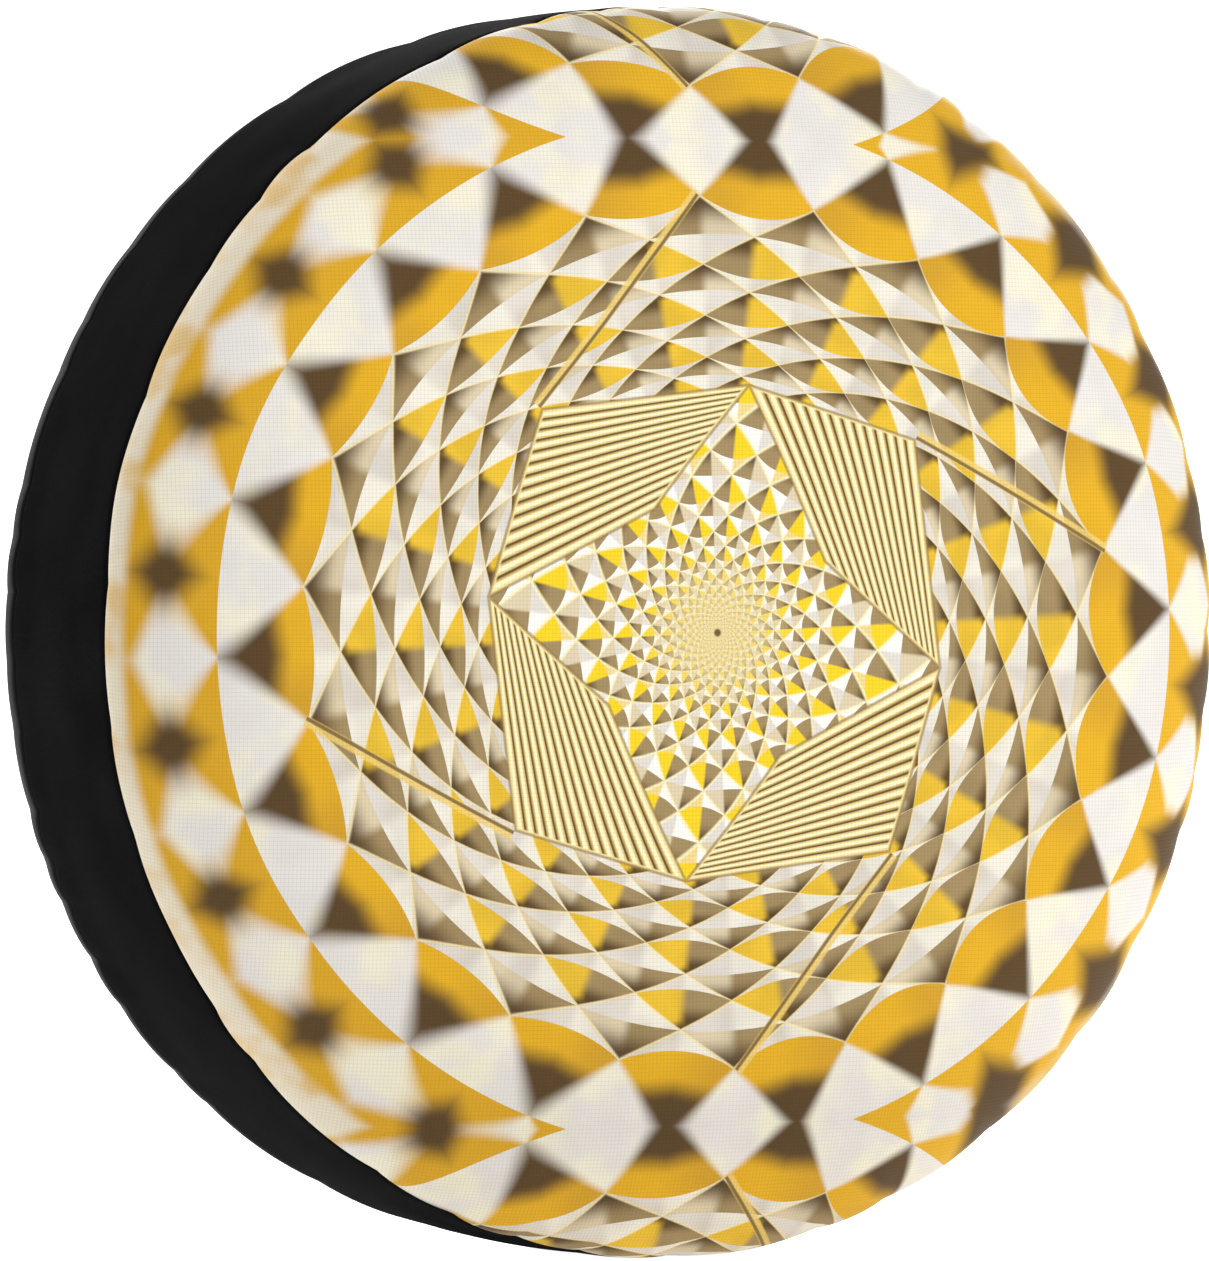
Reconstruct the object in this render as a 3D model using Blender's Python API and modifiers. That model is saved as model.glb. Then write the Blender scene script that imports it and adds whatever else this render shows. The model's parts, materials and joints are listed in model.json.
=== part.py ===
"""Spare tyre cover: a printed face panel, a black tread band and a rear panel with an elastic hem,
held on by two buckled straps across the open back.

Metres, +Z up. The cover's round axis is Y. The origin is the middle of the face panel's inside, where
the tyre's outer sidewall bears, and the open back looks along +Y.
"""

import math

import bmesh
import bpy
from mathutils import Matrix

# Cover
COVER_RADIUS = 0.360  # outside, at the crown of the tread band
COVER_DEPTH = 0.220  # outside of the face to outside of the rear panel
FABRIC = 0.0015  # cloth with its backing, as thick as it reads when stretched
FRONT_SHOULDER_WIDTH = 0.132  # radial, from the flat of the face out to the front seam
FRONT_SHOULDER_DEPTH = 0.056  # from the face back to the front seam
TREAD_CROWN = 0.003  # how far the band stands up between its two seams
REAR_SHOULDER_RADIUS = 0.040
REAR_PANEL_REACH = 0.066  # flat of the rear panel, from its shoulder in to the hem

# Seams and hem
SEAM_GAP = 0.0003
SEAM_LAND = 0.003  # straight cloth beside each seam, before the shoulder's curve starts
BINDING_WIDTH = 0.022
BINDING_THICKNESS = 0.0010
HEM_CLOTH = 0.0012
HEM_SLIT = 0.0018
ELASTIC_WIDTH = 0.0100
ELASTIC_THICKNESS = 0.0018
ELASTIC_PLAY = 0.0008  # between each edge of the elastic and the end of its tunnel
ELASTIC_LOFT = 0.0015  # free height over the elastic, so that it can run
CLEARANCE = 0.0003  # between pieces that touch

# Straps
STRAP_HEIGHT = 0.118  # above and below the axis
WEBBING_WIDTH = 0.025
WEBBING_THICKNESS = 0.0014
STRAP_SEWN_LENGTH = 0.050
FIXED_FOLD_LENGTH = 0.042
TAIL_LENGTH = 0.110
FOLD_TAPER = 0.012  # length over which a folded strap closes up behind its bar

# Buckles
BUCKLE_PLACE = -0.012  # the socket's mouth, along the strap
BUCKLE_WALL = 0.0016
SOCKET_LENGTH = 0.033
SOCKET_THICKNESS = 0.0092
SOCKET_RIM = 0.006  # closed ring at the mouth, which the latch arms catch behind
BUCKLE_MARGIN = 0.0050  # of plastic outside the webbing's edge, each side
PLUG_PLAY = 0.0005  # above and below the tongue, inside the socket
PLUG_FRAME_LENGTH = 0.009
BAR_WIDTH = 0.0040
BAR_THICKNESS = 0.0030
SLOT_LENGTH = 0.0062
SLOT_SIDE_CLEARANCE = 0.0008
TONGUE_WIDTH = 0.0060
TONGUE_LENGTH = 0.024
ARM_WIDTH = 0.0034
ARM_PLAY = 0.0008  # above and below the latch arms, inside the socket
ARM_REACH = 0.0225  # from the socket's mouth to the arm's tip
ARM_INSET = 0.0042  # the arm's outer side, in from the socket's inner wall, at the mouth
ARM_PIVOT_DEPTH = 0.0050  # the arm's root, behind the mouth, inside the plug's frame
ARM_TURN = 10  # degrees that an arm is squeezed in
LATCH_STEP = 0.0018  # how far a latch pad stands out past the rim's inner wall
LATCH_LENGTH = 0.006
LATCH_FLARE = 0.0006  # how much further out the pad's back end stands
ARM_TIP = 0.003  # length of the arm's slanted tip
ARM_TIP_STEP = 0.002  # how far the tip's back edge stands out from the arm
ARM_TIP_NOSE = 0.0015
MOUTH_GAP = 0.0005
BUCKLE_EDGE = 0.0008
BUCKLE_CORNER = 0.004
CUT_PAST = 0.010  # how far a cutter runs on outside the plastic

# Keepers
KEEPER_PLACE = 0.060  # from the plug's outer bar
KEEPER_LENGTH = 0.009
KEEPER_WALL = 0.0018
KEEPER_CORNER = 0.0016

RING_STEPS = 64
SHOULDER_STEPS = 8
BAND_STEPS = 6
BEND_STEPS = 6

COLOURS = {
    "print": ((0.87, 0.72, 0.42), 0.80),
    "black_cloth": ((0.012, 0.012, 0.013), 0.85),
    "binding": ((0.016, 0.016, 0.017), 0.80),
    "elastic": ((0.55, 0.54, 0.50), 0.75),
    "webbing": ((0.018, 0.018, 0.019), 0.70),
    "plastic": ((0.020, 0.020, 0.022), 0.38),
}

face_y = -FABRIC
rear_y = COVER_DEPTH - FABRIC
seam_radius = COVER_RADIUS - TREAD_CROWN
front_seam_y = face_y + FRONT_SHOULDER_DEPTH
rear_seam_y = rear_y - REAR_SHOULDER_RADIUS - SEAM_LAND
rear_flat_radius = seam_radius - REAR_SHOULDER_RADIUS
hem_outer_radius = rear_flat_radius - REAR_PANEL_REACH
hem_height = 2 * HEM_CLOTH + CLEARANCE + ELASTIC_THICKNESS + ELASTIC_LOFT
hem_depth = 2 * HEM_CLOTH + 2 * ELASTIC_PLAY + ELASTIC_WIDTH
mouth_radius = hem_outer_radius - hem_height

webbing_y = rear_y + CLEARANCE + WEBBING_THICKNESS / 2
fold_step = WEBBING_THICKNESS + CLEARANCE
buckle_y = webbing_y + fold_step / 2
fold_radius = BAR_THICKNESS / 2 + CLEARANCE + WEBBING_THICKNESS / 2
socket_half = WEBBING_WIDTH / 2 + BUCKLE_MARGIN
cavity_half = socket_half - BUCKLE_WALL
cavity_depth = SOCKET_THICKNESS / 2 - BUCKLE_WALL
window_length = ARM_REACH - SOCKET_RIM
slot_half = WEBBING_WIDTH / 2 + SLOT_SIDE_CLEARANCE
socket_bar_x = BUCKLE_PLACE - SOCKET_LENGTH - SLOT_LENGTH - BAR_WIDTH / 2
plug_front_x = BUCKLE_PLACE + MOUTH_GAP
inner_bar_x = plug_front_x + PLUG_FRAME_LENGTH + SLOT_LENGTH + BAR_WIDTH / 2
outer_bar_x = inner_bar_x + SLOT_LENGTH + BAR_WIDTH
arm_pivot_x = BUCKLE_PLACE + ARM_PIVOT_DEPTH
arm_outer = cavity_half - ARM_INSET


def clear_scene():
    for obj in list(bpy.data.objects):
        bpy.data.objects.remove(obj, do_unlink=True)


def new_collection(name):
    collection = bpy.data.collections.new(name)
    bpy.context.scene.collection.children.link(collection)
    return collection


def finish(obj, colour):
    """Puts a finished piece in the cover's collection with a material of its own."""
    rgb, roughness = COLOURS[colour]
    material = bpy.data.materials.new(obj.name)
    material.use_nodes = True
    shader = material.node_tree.nodes["Principled BSDF"]
    shader.inputs["Base Color"].default_value = (*rgb, 1)
    shader.inputs["Roughness"].default_value = roughness
    shader.inputs["Metallic"].default_value = 0
    obj.data.materials.append(material)
    cover.objects.link(obj)
    return obj


def arc(centre, radii, start, end, steps):
    """Points of an elliptical arc, from start to end in degrees."""
    turns = [math.radians(start + (end - start) * i / steps) for i in range(steps + 1)]
    return [(centre[0] + radii[0] * math.cos(t), centre[1] + radii[1] * math.sin(t)) for t in turns]


def line_mesh(name, points, closed):
    mesh = bpy.data.meshes.new(name)
    edges = [(i, i + 1) for i in range(len(points) - 1)]
    if closed:
        edges.append((len(points) - 1, 0))
    mesh.from_pydata([(radius, 0, depth) for radius, depth in points], edges, [])
    return mesh


def turned(name, points, colour, closed=False, wall=0):
    """A shape turned about the cover's axis from (radius, y) points.

    An open line runs from the rear to the front down its outer side and becomes a wall; a closed one is
    a ring's own section.
    """
    obj = bpy.data.objects.new(name, line_mesh(name, points, closed))
    obj.rotation_euler = (-math.pi / 2, 0, 0)
    screw = obj.modifiers.new("turn", "SCREW")
    screw.steps = RING_STEPS
    screw.render_steps = RING_STEPS
    screw.use_merge_vertices = True
    screw.merge_threshold = 1e-5
    screw.use_smooth_shade = True
    if wall:
        solidify = obj.modifiers.new("wall", "SOLIDIFY")
        solidify.thickness = wall
        solidify.offset = -1
        solidify.use_even_offset = True
    return finish(obj, colour)


def signed_area(points):
    pairs = zip(points, points[1:] + points[:1])
    return sum(a[0] * b[1] - b[0] * a[1] for a, b in pairs) / 2


def shifted(path, distance):
    """The path moved over to its left by a distance, with mitred bends."""
    moved = []
    for i, point in enumerate(path):
        ends = ((path[max(i - 1, 0)], point), (point, path[min(i + 1, len(path) - 1)]))
        ways = [(b[0] - a[0], b[1] - a[1]) for a, b in ends if a != b]
        normals = [(-dy / math.hypot(dx, dy), dx / math.hypot(dx, dy)) for dx, dy in ways]
        nx = sum(n[0] for n in normals) / len(normals)
        ny = sum(n[1] for n in normals) / len(normals)
        reach = distance / (nx * nx + ny * ny)
        moved.append((point[0] + nx * reach, point[1] + ny * reach))
    return moved


def ribbon(path, thickness):
    """The closed outline of a strip of even thickness along a path."""
    return shifted(path, thickness / 2) + shifted(path, -thickness / 2)[::-1]


def extruded(name, outlines, thickness, matrix, edge=0):
    """Flat outlines, the later ones holes in the first, given a thickness across their plane."""
    curve = bpy.data.curves.new(name, "CURVE")
    curve.dimensions = "2D"
    curve.fill_mode = "BOTH"
    curve.extrude = thickness / 2
    for outline in outlines:
        spline = curve.splines.new("POLY")
        spline.points.add(len(outline) - 1)
        for point, (x, y) in zip(spline.points, outline):
            point.co = (x, y, 0, 1)
        spline.use_cyclic_u = True
    obj = bpy.data.objects.new(name, curve)
    obj.matrix_world = matrix
    if edge:
        weld = obj.modifiers.new("weld", "WELD")
        weld.merge_threshold = 1e-5
        bevel = obj.modifiers.new("edge", "BEVEL")
        bevel.width = edge
        bevel.segments = 2
        bevel.limit_method = "ANGLE"
        bevel.angle_limit = math.radians(50)
    return obj


def rectangle(low, high, corner=0.0, steps=3):
    """A rectangle's outline, with its corners rounded where a corner radius is given."""
    if not corner:
        return [(low[0], low[1]), (high[0], low[1]), (high[0], high[1]), (low[0], high[1])]
    x0, y0, x1, y1 = low[0] + corner, low[1] + corner, high[0] - corner, high[1] - corner
    radii = (corner, corner)
    outline = arc((x1, y1), radii, 0, 90, steps) + arc((x0, y1), radii, 90, 180, steps)
    return outline + arc((x0, y0), radii, 180, 270, steps) + arc((x1, y0), radii, 270, 360, steps)


def box_cutter(name, low, high):
    bm = bmesh.new()
    bmesh.ops.create_cube(bm, size=1)
    size = [b - a for a, b in zip(low, high)]
    bmesh.ops.scale(bm, vec=size, verts=bm.verts)
    bmesh.ops.translate(bm, vec=[(a + b) / 2 for a, b in zip(low, high)], verts=bm.verts)
    mesh = bpy.data.meshes.new(name)
    bm.to_mesh(mesh)
    bm.free()
    obj = bpy.data.objects.new(name, mesh)
    obj.hide_render = True
    obj.display_type = "WIRE"
    cutters.objects.link(obj)
    return obj


def as_mesh(obj):
    """The evaluated shape as a mesh object with its loose caps joined on, for cutting."""
    cutters.objects.link(obj)
    bpy.context.view_layer.update()
    mesh = bpy.data.meshes.new_from_object(obj.evaluated_get(bpy.context.evaluated_depsgraph_get()))
    bm = bmesh.new()
    bm.from_mesh(mesh)
    bmesh.ops.remove_doubles(bm, verts=bm.verts, dist=1e-6)
    bm.to_mesh(mesh)
    bm.free()
    name, matrix = obj.name, obj.matrix_world.copy()
    bpy.data.objects.remove(obj, do_unlink=True)
    made = bpy.data.objects.new(name, mesh)
    made.matrix_world = matrix
    return made


def cut(obj, cutter):
    boolean = obj.modifiers.new(cutter.name, "BOOLEAN")
    boolean.operation = "DIFFERENCE"
    boolean.object = cutter


def band_radius(y):
    """Outside radius of the crowned tread band, between its two seams."""
    middle = (front_seam_y + rear_seam_y) / 2
    share = (y - middle) / (rear_seam_y - middle)
    return COVER_RADIUS - TREAD_CROWN * share**2


def face_line():
    flat_radius = seam_radius - FRONT_SHOULDER_WIDTH
    radii = (FRONT_SHOULDER_WIDTH, FRONT_SHOULDER_DEPTH - SEAM_LAND)
    shoulder = arc((flat_radius, front_seam_y - SEAM_LAND), radii, 0, -90, SHOULDER_STEPS)
    return [(seam_radius, front_seam_y)] + shoulder + [(0, face_y)]


def band_line():
    length = rear_seam_y - front_seam_y - 2 * SEAM_GAP
    depths = [rear_seam_y - SEAM_GAP - length * i / BAND_STEPS for i in range(BAND_STEPS + 1)]
    return [(band_radius(y), y) for y in depths]


def rear_line():
    radii = (REAR_SHOULDER_RADIUS, REAR_SHOULDER_RADIUS)
    shoulder = arc((rear_flat_radius, rear_seam_y + SEAM_LAND), radii, 90, 0, SHOULDER_STEPS)
    return [(hem_outer_radius + SEAM_GAP, rear_y)] + shoulder + [(seam_radius, rear_seam_y)]


def make_panels():
    turned("front_panel", face_line(), "print", wall=FABRIC)
    turned("tread_band", band_line(), "black_cloth", wall=FABRIC)
    turned("rear_panel", rear_line(), "black_cloth", wall=FABRIC)


def stretch(line, rear, front):
    """The part of a line, which runs from rear to front, between two depths, with no very short piece."""
    part = []
    for a, b in zip(line, line[1:]):
        for y in (rear, front):
            if b[1] < y < a[1]:
                share = (a[1] - y) / (a[1] - b[1])
                part.append((a[0] + (b[0] - a[0]) * share, y))
        if front + FABRIC < b[1] < rear - FABRIC:
            part.append(b)
    return part


def make_binding(name, rear_piece, front_piece, seam_y):
    """A tape inside a seam, over the raw edges of the two panels that meet there."""
    line = stretch(rear_piece + front_piece, seam_y + BINDING_WIDTH / 2, seam_y - BINDING_WIDTH / 2)
    turned(name, shifted(line, -FABRIC - CLEARANCE), "binding", wall=BINDING_THICKNESS)


def make_hem():
    half = HEM_CLOTH / 2
    outer, inner = hem_outer_radius - half, mouth_radius + half
    back, front = rear_y - half, rear_y - hem_depth + half
    path = [(outer, front + HEM_SLIT), (outer, back), (inner, back), (inner, front), (outer - half, front)]
    tunnel = ribbon(path, HEM_CLOTH)
    if signed_area(tunnel) > 0:
        tunnel.reverse()
    turned("hem_channel", tunnel, "black_cloth", closed=True)

    y = (back + front) / 2
    low_radius = inner + half + CLEARANCE
    high_radius = low_radius + ELASTIC_THICKNESS
    low, high = y - ELASTIC_WIDTH / 2, y + ELASTIC_WIDTH / 2
    band = [(high_radius, high), (high_radius, low), (low_radius, low), (low_radius, high)]
    turned("hem_elastic", band, "elastic", closed=True)


def fold(bar_x, far_bar_x, towards):
    """The path of webbing folded round a bar. It comes in on the low side and leaves on the high side;
    towards is -1 where it comes from -X and 1 where it comes from +X."""
    low, high = buckle_y - fold_radius, buckle_y + fold_radius
    edge = bar_x - towards * BAR_WIDTH / 2
    turn = arc((edge, buckle_y), (fold_radius * -towards, fold_radius), -90, 90, BEND_STEPS)
    leave = far_bar_x + towards * BAR_WIDTH / 2
    start = leave + towards * FOLD_TAPER
    return [(start, webbing_y), (leave, low)] + turn + [(leave, high), (start, webbing_y + fold_step)]


def webbing(name, path, height):
    place = Matrix.Translation((0, 0, height))
    finish(extruded(name, [ribbon(path, WEBBING_THICKNESS)], WEBBING_WIDTH, place), "webbing")


def flat_on_back(x, height):
    """Places an outline drawn in X and Z on the buckle's middle plane, with its origin at x."""
    return Matrix.Translation((x, buckle_y, height)) @ Matrix.Rotation(math.pi / 2, 4, "X")


def make_socket(prefix, height):
    left = socket_bar_x - BAR_WIDTH / 2 - BUCKLE_PLACE
    corner = (BUCKLE_CORNER, BUCKLE_CORNER)
    x, z = left + BUCKLE_CORNER, socket_half - BUCKLE_CORNER
    outline = arc((x, z), corner, 90, 180, 3) + arc((x, -z), corner, 180, 270, 3)
    outline += [(0, -socket_half), (0, socket_half)]
    matrix = flat_on_back(BUCKLE_PLACE, height)
    name = f"{prefix}_buckle_socket"
    socket = as_mesh(extruded(name, [outline], SOCKET_THICKNESS, matrix, BUCKLE_EDGE))

    low_y, high_y = buckle_y - cavity_depth, buckle_y + cavity_depth
    cavity_end = BUCKLE_PLACE - SOCKET_LENGTH + BUCKLE_WALL
    cavity_low = (cavity_end, low_y, height - cavity_half)
    cavity_high = (BUCKLE_PLACE + CUT_PAST, high_y, height + cavity_half)
    cut(socket, box_cutter(f"{prefix}_cavity", cavity_low, cavity_high))

    window_end = BUCKLE_PLACE - SOCKET_RIM
    window_low = (window_end - window_length, low_y, height - socket_half - CUT_PAST)
    window_high = (window_end, high_y, height + socket_half + CUT_PAST)
    cut(socket, box_cutter(f"{prefix}_windows", window_low, window_high))

    floor = socket_bar_x + BAR_WIDTH / 2
    slot_low = (floor, buckle_y - CUT_PAST, height - slot_half)
    slot_high = (floor + SLOT_LENGTH, buckle_y + CUT_PAST, height + slot_half)
    cut(socket, box_cutter(f"{prefix}_slot", slot_low, slot_high))
    cut_bar_relief(socket, floor - BAR_WIDTH - CUT_PAST, floor + CLEARANCE, height)
    finish(socket, "plastic")


def cut_bar_relief(buckle, start, end, height):
    """Makes a buckle's bars thinner than its frame, on both sides, so that the folded webbing lies low."""
    for side_name, side in (("low", -1), ("high", 1)):
        near = buckle_y + side * BAR_THICKNESS / 2
        far = buckle_y + side * CUT_PAST
        low = (start, min(near, far), height - slot_half)
        high = (end, max(near, far), height + slot_half)
        cut(buckle, box_cutter(f"{buckle.name}_{side_name}_relief", low, high))


def plug_outline():
    """The plug's frame with its tongue, mouth at x = 0, drawn round from the tongue's tip."""
    back = outer_bar_x + BAR_WIDTH / 2 - BUCKLE_PLACE
    front = plug_front_x - BUCKLE_PLACE
    half_tongue = TONGUE_WIDTH / 2
    notch = ARM_WIDTH / 2 + CLEARANCE
    centre = arm_outer - ARM_WIDTH / 2
    tip = arc((-TONGUE_LENGTH + half_tongue, 0), (half_tongue, half_tongue), 180, 270, 4)
    swing = (ARM_PIVOT_DEPTH - front) * math.tan(math.radians(ARM_TURN))
    lower = tip + [(front, -half_tongue), (front, -centre + notch + swing)]
    lower += arc((ARM_PIVOT_DEPTH, -centre), (notch, notch), 90, -90, BEND_STEPS)
    lower += [(front, -centre - notch), (front, -socket_half)]
    corner = (BUCKLE_CORNER, BUCKLE_CORNER)
    lower += arc((back - BUCKLE_CORNER, -socket_half + BUCKLE_CORNER), corner, -90, 0, 3)
    upper = [(x, -z) for x, z in reversed(lower)]
    return lower + upper[:-1]


def make_plug(prefix, height):
    slots = []
    for bar_x in (inner_bar_x, outer_bar_x):
        end = bar_x - BAR_WIDTH / 2 - BUCKLE_PLACE
        slots.append(rectangle((end - SLOT_LENGTH, -slot_half), (end, slot_half)))
    matrix = flat_on_back(BUCKLE_PLACE, height)
    name = f"{prefix}_buckle_plug"
    plug = as_mesh(extruded(name, [plug_outline()] + slots, 2 * (cavity_depth - PLUG_PLAY), matrix))
    cut_bar_relief(plug, inner_bar_x - BAR_WIDTH, outer_bar_x + BAR_WIDTH, height)
    finish(plug, "plastic")


def make_arm(prefix, side_name, side, height):
    """A latch arm, drawn with its root's centre at the origin and its outer side towards +Z, then
    turned over for the lower side."""
    half = ARM_WIDTH / 2
    to_mouth = -ARM_PIVOT_DEPTH
    rim = to_mouth - SOCKET_RIM - CLEARANCE
    tip = to_mouth - ARM_REACH
    pad = ARM_INSET + LATCH_STEP + half
    outline = arc((0, 0), (half, half), -90, 90, BEND_STEPS)
    outline += [(rim, half), (rim, pad), (rim - LATCH_LENGTH, pad + LATCH_FLARE)]
    outline += [(tip + ARM_TIP, half + ARM_TIP_STEP), (tip, half + ARM_TIP_STEP - ARM_TIP_NOSE)]
    outline += [(tip, half - ARM_TIP_STEP), (tip + ARM_TIP, -half)]
    outline = [(x, side * z) for x, z in outline]
    place = flat_on_back(arm_pivot_x, height + side * (arm_outer - half))
    name = f"{prefix}_{side_name}_latch_arm"
    finish(extruded(name, [outline], 2 * (cavity_depth - ARM_PLAY), place), "plastic")


def make_keeper(prefix, height):
    """A loop round both layers of the adjustable strap, drawn across the strap."""
    half_width = WEBBING_WIDTH / 2 + SLOT_SIDE_CLEARANCE
    half_depth = (fold_step + WEBBING_THICKNESS) / 2 + CLEARANCE
    outer = rectangle((-half_depth - KEEPER_WALL, -half_width - KEEPER_WALL),
                      (half_depth + KEEPER_WALL, half_width + KEEPER_WALL), KEEPER_CORNER, 2)
    hole = rectangle((-half_depth, -half_width), (half_depth, half_width))
    place = Matrix.Translation((outer_bar_x + KEEPER_PLACE, buckle_y, height))
    across = Matrix(((0, 0, 1, 0), (1, 0, 0, 0), (0, 1, 0, 0), (0, 0, 0, 1)))
    finish(extruded(f"{prefix}_strap_keeper", [outer, hole], KEEPER_LENGTH, place @ across), "plastic")


def make_strap(prefix, height):
    """One strap across the mouth: a fixed end with the socket and an adjustable end with the plug."""
    edge = abs(height) - WEBBING_WIDTH / 2
    reach = math.sqrt(hem_outer_radius**2 - edge**2) + STRAP_SEWN_LENGTH
    fixed = [(-reach, webbing_y)] + fold(socket_bar_x, socket_bar_x, -1)
    end = fixed[-1]
    webbing(f"{prefix}_strap_fixed", fixed + [(end[0] - FIXED_FOLD_LENGTH, end[1])], height)
    adjustable = [(reach, webbing_y)] + fold(inner_bar_x, outer_bar_x, 1)
    end = adjustable[-1]
    webbing(f"{prefix}_strap_adjustable", adjustable + [(outer_bar_x + TAIL_LENGTH, end[1])], height)
    make_socket(prefix, height)
    make_plug(prefix, height)
    make_arm(prefix, "top", 1, height)
    make_arm(prefix, "bottom", -1, height)
    make_keeper(prefix, height)


clear_scene()
cover = new_collection("spare_tyre_cover")
cutters = new_collection("cutters")
make_panels()
make_binding("front_seam_binding", band_line(), face_line(), front_seam_y)
make_binding("rear_seam_binding", rear_line(), band_line(), rear_seam_y)
make_hem()
make_strap("upper", STRAP_HEIGHT)
make_strap("lower", -STRAP_HEIGHT)
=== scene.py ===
"""The finish of the spare tyre cover: printed face, black cloth, gathered hem, webbing, buckles.

Metres, +Z up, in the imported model's own frame. The cover's round axis is Y, its printed face looks along
-Y and its open back along +Y. Every cloth piece is a grid turned about Y from a profile in radius and
depth, with its tucks and gathers worked into the points.
"""

import json
import math
import random
from contextlib import contextmanager

import bmesh
import bpy
import numpy as np
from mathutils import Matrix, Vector

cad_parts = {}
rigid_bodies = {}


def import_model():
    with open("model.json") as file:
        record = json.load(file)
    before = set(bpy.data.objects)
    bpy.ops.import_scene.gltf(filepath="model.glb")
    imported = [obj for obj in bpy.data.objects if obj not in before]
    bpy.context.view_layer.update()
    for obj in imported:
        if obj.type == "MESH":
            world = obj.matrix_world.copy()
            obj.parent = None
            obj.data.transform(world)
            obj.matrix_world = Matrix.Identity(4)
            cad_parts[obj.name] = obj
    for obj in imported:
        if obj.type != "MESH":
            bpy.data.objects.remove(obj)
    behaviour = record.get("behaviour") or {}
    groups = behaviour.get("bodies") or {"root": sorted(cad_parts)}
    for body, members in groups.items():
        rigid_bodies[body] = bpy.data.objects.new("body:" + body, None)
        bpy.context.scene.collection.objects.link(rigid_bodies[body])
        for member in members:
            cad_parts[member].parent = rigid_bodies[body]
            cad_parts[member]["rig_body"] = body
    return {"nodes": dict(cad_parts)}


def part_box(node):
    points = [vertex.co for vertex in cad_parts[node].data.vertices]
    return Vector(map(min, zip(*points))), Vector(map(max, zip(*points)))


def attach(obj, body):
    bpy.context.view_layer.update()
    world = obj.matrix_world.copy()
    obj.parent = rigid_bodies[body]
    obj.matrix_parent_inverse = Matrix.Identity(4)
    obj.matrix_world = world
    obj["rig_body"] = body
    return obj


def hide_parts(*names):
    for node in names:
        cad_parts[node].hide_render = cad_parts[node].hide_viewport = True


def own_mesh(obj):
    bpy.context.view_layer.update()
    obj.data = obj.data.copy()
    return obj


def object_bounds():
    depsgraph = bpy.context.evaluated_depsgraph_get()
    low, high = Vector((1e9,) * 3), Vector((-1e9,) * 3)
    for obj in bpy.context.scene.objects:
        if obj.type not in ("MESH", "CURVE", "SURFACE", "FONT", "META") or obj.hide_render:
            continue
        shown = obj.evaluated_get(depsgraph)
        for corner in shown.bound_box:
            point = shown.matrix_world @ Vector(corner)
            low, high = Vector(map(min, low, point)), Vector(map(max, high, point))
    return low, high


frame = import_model()
cad_low, cad_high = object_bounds()

# Cloth, in metres like every length here
CLOTH = 0.0011  # thickness of every panel
SEAM_DIP = 0.0012  # how far both panels turn in where they are sewn together
SEAM_DIP_WIDTH = 0.0030
SEAM_LAND = 0.003  # how far a panel runs square off its seam before it curves
SEAM_GAP = 0.0002  # left between two panels at their seam
FACE_SHOULDER = 0.132  # how far in from the seam the face starts to curve away
FACE_STEP = 0.0032  # spacing of the rows of points
REAR_STEP = 0.0026
TAPE_STEP = 0.0022
FINE_STEP = 0.0011
BAND_ROWS = 46
POLE_RADIUS = 0.004  # the face's last row, closed by one point
ROUND_STEPS = 480

# Tucks: the seams are drawn in at tucks and swell out between them
TUCK_COUNT = 36
TUCK_SWELL = (0.0006, 0.0026)
TUCK_SWAY = 0.0022  # how far a seam wanders along the axis
FACE_TUCK_REACH = 0.085
BAND_TUCK_REACH = 0.034
GATHER_COUNT = 80
GATHER_DEPTH = (0.0022, 0.0062)
GATHER_REACH = (0.035, 0.105)
GATHER_RISE = 0.012  # from the hem to where the folds are whole
STRAP_CLEAR = (0.0145, 0.027)  # the folds start and are whole at these distances from a strap's middle

# Hem
HEM_LAP = 0.0032  # how far the back laps over the hem's casing
HEM_WIDTH = 0.006
HEM_CORNER = 0.0024
HEM_INNER_SIDE = (0.0028, 0.0052)  # its swell starts and is whole this far in from its edge
HEM_SWELL = 0.0012
HEM_DRAWN_IN = 0.00015  # no more than this, or the elastic would show through
HEM_ROWS = (0.0010, 0.0042)  # its two rows of stitches, out from its edge

# Tapes and stitches
BINDING_WIDTH = 0.022
BINDING_THICKNESS = 0.0009
BINDING_GAP = 0.0003
STITCH_LENGTH = 0.0030
STITCH_PITCH = 0.0042
STITCH_THICKNESS = 0.00042
THREAD_LIFT = 0.0001  # how high a stitch's middle lies over the cloth

# Straps
WEBBING_THICKNESS = 0.0014
BAR_WIDTH = 0.0040
BAR_THICKNESS = 0.0030
SLOT_LENGTH = 0.0062
FOLD_GAP = 0.0003
FOLD_TAPER = 0.012
PLUG_TRAVEL = 0.030
SEWN_TAIL = 0.042  # the part folded back past the buckle and sewn down
PULL_TAIL = 0.110  # the part left loose to pull on
TACK_INSET = 0.038  # from the fold to the far end of its box of stitches
TACK_LENGTH = 0.026
SEWING_INSET = 0.003
SEWING_FROM_EDGE = 0.010
STRAP_STITCH_PITCH = 0.0034
STRAP_STITCH_LENGTH = 0.0026
MOULDING_EDGE = 0.00035
BUCKLE_PIECES = ("buckle_socket", "buckle_plug", "top_latch_arm", "bottom_latch_arm", "strap_keeper")

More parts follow.
